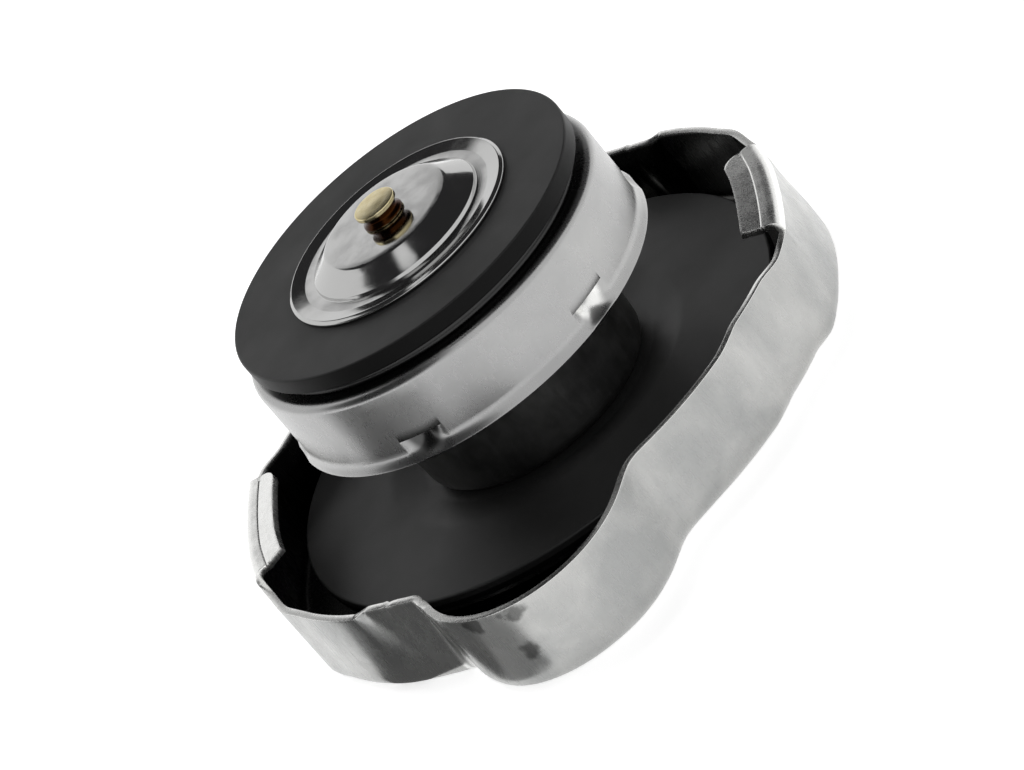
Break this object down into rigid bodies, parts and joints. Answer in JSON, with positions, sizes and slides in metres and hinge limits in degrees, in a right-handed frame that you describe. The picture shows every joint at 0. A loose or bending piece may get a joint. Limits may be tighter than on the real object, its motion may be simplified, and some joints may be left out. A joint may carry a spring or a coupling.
{
  "type": "radiator cap",
  "caption": "Eared radiator pressure cap resting on its top, with rubber seals, sprung pressure valve cup and a brass-pinned vacuum plate.",
  "frame": {"origin": "middle of the shell's flat outer top, which the cap rests on", "axes": "+Z along the cap's axis, from the shell towards the pressure seal; +X through the two grip ears"},
  "size_m": [0.086, 0.0696, 0.0353],
  "materials": {
    "plated_shell": "satin plated",
    "plated_steel": "satin plated",
    "bell_steel": "plated, dark",
    "spring_steel": "oiled spring steel",
    "bright_steel": "polished",
    "black_rubber": "matt moulded",
    "brass_pin": "bright drawn"
  },
  "bodies": {
    "cap_shell": {"shell": "plated_shell", "centre_rivet": "plated_steel", "rivet_washer": "plated_steel"},
    "spring_housing": {"diaphragm_spring": "spring_steel", "top_gasket": "black_rubber", "bell": "bell_steel", "main_spring": "spring_steel"},
    "pressure_valve": {"valve_cup": "plated_steel", "pressure_seal": "black_rubber", "seal_eyelet": "bright_steel", "guide_plate": "plated_steel", "vacuum_spring": "spring_steel"},
    "vacuum_valve": {"vacuum_plate": "bright_steel", "vacuum_pin": "brass_pin", "spring_retainer": "plated_steel"}
  },
  "joints": [
    {"name": "housing_swivel", "type": "hinge", "parent": "cap_shell", "child": "spring_housing", "pos_m": [0, 0, 0.0046], "axis": [0, 0, 1], "continuous": true},
    {"name": "pressure_valve_slide", "type": "slide", "parent": "spring_housing", "child": "pressure_valve", "axis": [0, 0, 1], "range_m": [-0.004, 0], "stiffness_N_per_m": 1200, "springref_m": 0.001, "deforming": ["main_spring"]},
    {"name": "vacuum_valve_slide", "type": "slide", "parent": "pressure_valve", "child": "vacuum_valve", "axis": [0, 0, 1], "range_m": [0, 0.0015], "stiffness_N_per_m": 100, "springref_m": -0.003, "deforming": ["vacuum_spring"]}
  ]
}
